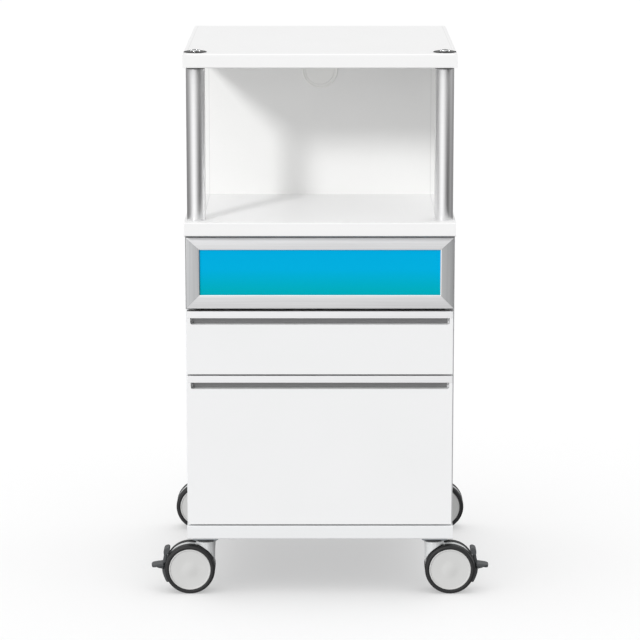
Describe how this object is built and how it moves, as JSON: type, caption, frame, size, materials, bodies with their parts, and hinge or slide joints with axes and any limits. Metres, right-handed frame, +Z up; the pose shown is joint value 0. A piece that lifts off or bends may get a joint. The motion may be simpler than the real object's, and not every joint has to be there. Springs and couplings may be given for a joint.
{
  "type": "mobile clinic drawer cabinet",
  "caption": "Mobile white clinic cabinet: drawers with a blue glazed top front, an open equipment bay on steel posts with a cable outlet, and braked twin-wheel casters.",
  "frame": {"origin": "on the floor under the middle of the cabinet's bounding box", "axes": "+Z up, the drawer fronts face -Y, +X to the viewer's right from the front"},
  "size_m": [0.641, 0.53, 1.031],
  "materials": {
    "melamine_board": "white melamine, satin",
    "box_board": "white melamine, matt",
    "front_panel": "white laminate, satin",
    "coated_sheet": "white powder coat",
    "post_steel": "brushed along the post",
    "polished_steel": "polished",
    "frame_aluminium": "brushed and anodised",
    "grip_aluminium": "satin anodised",
    "blue_glass": "back-painted, glossy",
    "white_plastic": "moulded",
    "zinc_steel": "zinc plated",
    "black_plastic": "moulded",
    "housing_plastic": "moulded",
    "hub_plastic": "moulded",
    "pedal_plastic": "moulded",
    "tyre_rubber": "soft tread"
  },
  "bodies": {
    "cabinet": {"top_board": "melamine_board", "top_edge_strips": "melamine_board", "shelf_board": "melamine_board", "shelf_side_rails": "melamine_board", "front_posts": "post_steel", "post_tie_bolts": "polished_steel", "bay_back_panel": "melamine_board", "cable_grommet_ring": "white_plastic", "bay_side_frames": "melamine_board", "bay_rear_cover": "coated_sheet", "side_panels": "melamine_board", "bottom_board": "melamine_board", "carcass_back_panel": "melamine_board", "cabinet_runner_rails": "zinc_steel", "caster_plates": "zinc_steel", "caster_bearings": "black_plastic"},
    "grommet_cap": {"cable_grommet_cap": "white_plastic"},
    "drawer_1": {"drawer_1_frame": "frame_aluminium", "drawer_1_glass": "blue_glass", "drawer_1_box": "box_board", "drawer_1_rails": "zinc_steel"},
    "drawer_2": {"drawer_2_front": "front_panel", "drawer_2_grip": "grip_aluminium", "drawer_2_box": "box_board", "drawer_2_rails": "zinc_steel"},
    "drawer_3": {"drawer_3_front": "front_panel", "drawer_3_grip": "grip_aluminium", "drawer_3_box": "box_board", "drawer_3_rails": "zinc_steel"},
    "runner_slide_1": {"runner_slides_1": "zinc_steel"},
    "runner_slide_2": {"runner_slides_2": "zinc_steel"},
    "runner_slide_3": {"runner_slides_3": "zinc_steel"},
    "front_left_caster": {"front_left_housing": "housing_plastic", "front_left_axle": "zinc_steel"},
    "front_left_fore_wheel": {"front_left_fore_tyre": "tyre_rubber", "front_left_fore_hub": "hub_plastic"},
    "front_left_aft_wheel": {"front_left_aft_tyre": "tyre_rubber", "front_left_aft_hub": "hub_plastic"},
    "front_left_brake": {"front_left_brake_pedal": "pedal_plastic"},
    "front_right_caster": {"front_right_housing": "housing_plastic", "front_right_axle": "zinc_steel"},
    "front_right_fore_wheel": {"front_right_fore_tyre": "tyre_rubber", "front_right_fore_hub": "hub_plastic"},
    "front_right_aft_wheel": {"front_right_aft_tyre": "tyre_rubber", "front_right_aft_hub": "hub_plastic"},
    "front_right_brake": {"front_right_brake_pedal": "pedal_plastic"},
    "rear_left_caster": {"rear_left_housing": "housing_plastic", "rear_left_axle": "zinc_steel"},
    "rear_left_fore_wheel": {"rear_left_fore_tyre": "tyre_rubber", "rear_left_fore_hub": "hub_plastic"},
    "rear_left_aft_wheel": {"rear_left_aft_tyre": "tyre_rubber", "rear_left_aft_hub": "hub_plastic"},
    "rear_right_caster": {"rear_right_housing": "housing_plastic", "rear_right_axle": "zinc_steel"},
    "rear_right_fore_wheel": {"rear_right_fore_tyre": "tyre_rubber", "rear_right_fore_hub": "hub_plastic"},
    "rear_right_aft_wheel": {"rear_right_aft_tyre": "tyre_rubber", "rear_right_aft_hub": "hub_plastic"}
  },
  "joints": [
    {"name": "grommet_cap_pull", "type": "slide", "parent": "cabinet", "child": "grommet_cap", "axis": [0, -1, 0], "range_m": [0, 0.025]},
    {"name": "drawer_1_slide", "type": "slide", "parent": "cabinet", "child": "drawer_1", "axis": [0, -1, 0], "range_m": [0, 0.44]},
    {"name": "runner_1_slide", "type": "slide", "parent": "cabinet", "child": "runner_slide_1", "axis": [0, -1, 0], "range_m": [0, 0.22]},
    {"name": "drawer_2_slide", "type": "slide", "parent": "cabinet", "child": "drawer_2", "axis": [0, -1, 0], "range_m": [0, 0.44]},
    {"name": "runner_2_slide", "type": "slide", "parent": "cabinet", "child": "runner_slide_2", "axis": [0, -1, 0], "range_m": [0, 0.22]},
    {"name": "drawer_3_slide", "type": "slide", "parent": "cabinet", "child": "drawer_3", "axis": [0, -1, 0], "range_m": [0, 0.44]},
    {"name": "runner_3_slide", "type": "slide", "parent": "cabinet", "child": "runner_slide_3", "axis": [0, -1, 0], "range_m": [0, 0.22]},
    {"name": "front_left_swivel", "type": "hinge", "parent": "cabinet", "child": "front_left_caster", "pos_m": [-0.216, -0.216, 0.095], "axis": [0, 0, 1], "continuous": true},
    {"name": "front_left_fore_roll", "type": "hinge", "parent": "front_left_caster", "child": "front_left_fore_wheel", "pos_m": [-0.246, -0.216, 0.0475], "axis": [0, 1, 0], "continuous": true},
    {"name": "front_left_aft_roll", "type": "hinge", "parent": "front_left_caster", "child": "front_left_aft_wheel", "pos_m": [-0.246, -0.216, 0.0475], "axis": [0, 1, 0], "continuous": true},
    {"name": "front_left_brake_press", "type": "hinge", "parent": "front_left_caster", "child": "front_left_brake", "pos_m": [-0.287, -0.216, 0.0535], "axis": [0, -1, 0], "range_deg": [0, 8]},
    {"name": "front_right_swivel", "type": "hinge", "parent": "cabinet", "child": "front_right_caster", "pos_m": [0.216, -0.216, 0.095], "axis": [0, 0, 1], "continuous": true},
    {"name": "front_right_fore_roll", "type": "hinge", "parent": "front_right_caster", "child": "front_right_fore_wheel", "pos_m": [0.246, -0.216, 0.0475], "axis": [0, 1, 0], "continuous": true},
    {"name": "front_right_aft_roll", "type": "hinge", "parent": "front_right_caster", "child": "front_right_aft_wheel", "pos_m": [0.246, -0.216, 0.0475], "axis": [0, 1, 0], "continuous": true},
    {"name": "front_right_brake_press", "type": "hinge", "parent": "front_right_caster", "child": "front_right_brake", "pos_m": [0.287, -0.216, 0.0535], "axis": [0, 1, 0], "range_deg": [0, 8]},
    {"name": "rear_left_swivel", "type": "hinge", "parent": "cabinet", "child": "rear_left_caster", "pos_m": [-0.216, 0.238, 0.095], "axis": [0, 0, 1], "continuous": true},
    {"name": "rear_left_fore_roll", "type": "hinge", "parent": "rear_left_caster", "child": "rear_left_fore_wheel", "pos_m": [-0.246, 0.238, 0.0475], "axis": [0, 1, 0], "continuous": true},
    {"name": "rear_left_aft_roll", "type": "hinge", "parent": "rear_left_caster", "child": "rear_left_aft_wheel", "pos_m": [-0.246, 0.238, 0.0475], "axis": [0, 1, 0], "continuous": true},
    {"name": "rear_right_swivel", "type": "hinge", "parent": "cabinet", "child": "rear_right_caster", "pos_m": [0.216, 0.238, 0.095], "axis": [0, 0, 1], "continuous": true},
    {"name": "rear_right_fore_roll", "type": "hinge", "parent": "rear_right_caster", "child": "rear_right_fore_wheel", "pos_m": [0.246, 0.238, 0.0475], "axis": [0, 1, 0], "continuous": true},
    {"name": "rear_right_aft_roll", "type": "hinge", "parent": "rear_right_caster", "child": "rear_right_aft_wheel", "pos_m": [0.246, 0.238, 0.0475], "axis": [0, 1, 0], "continuous": true}
  ],
  "couplings": [
    {"joint": "runner_1_slide", "follows": "drawer_1_slide", "ratio": 0.5},
    {"joint": "runner_2_slide", "follows": "drawer_2_slide", "ratio": 0.5},
    {"joint": "runner_3_slide", "follows": "drawer_3_slide", "ratio": 0.5}
  ]
}
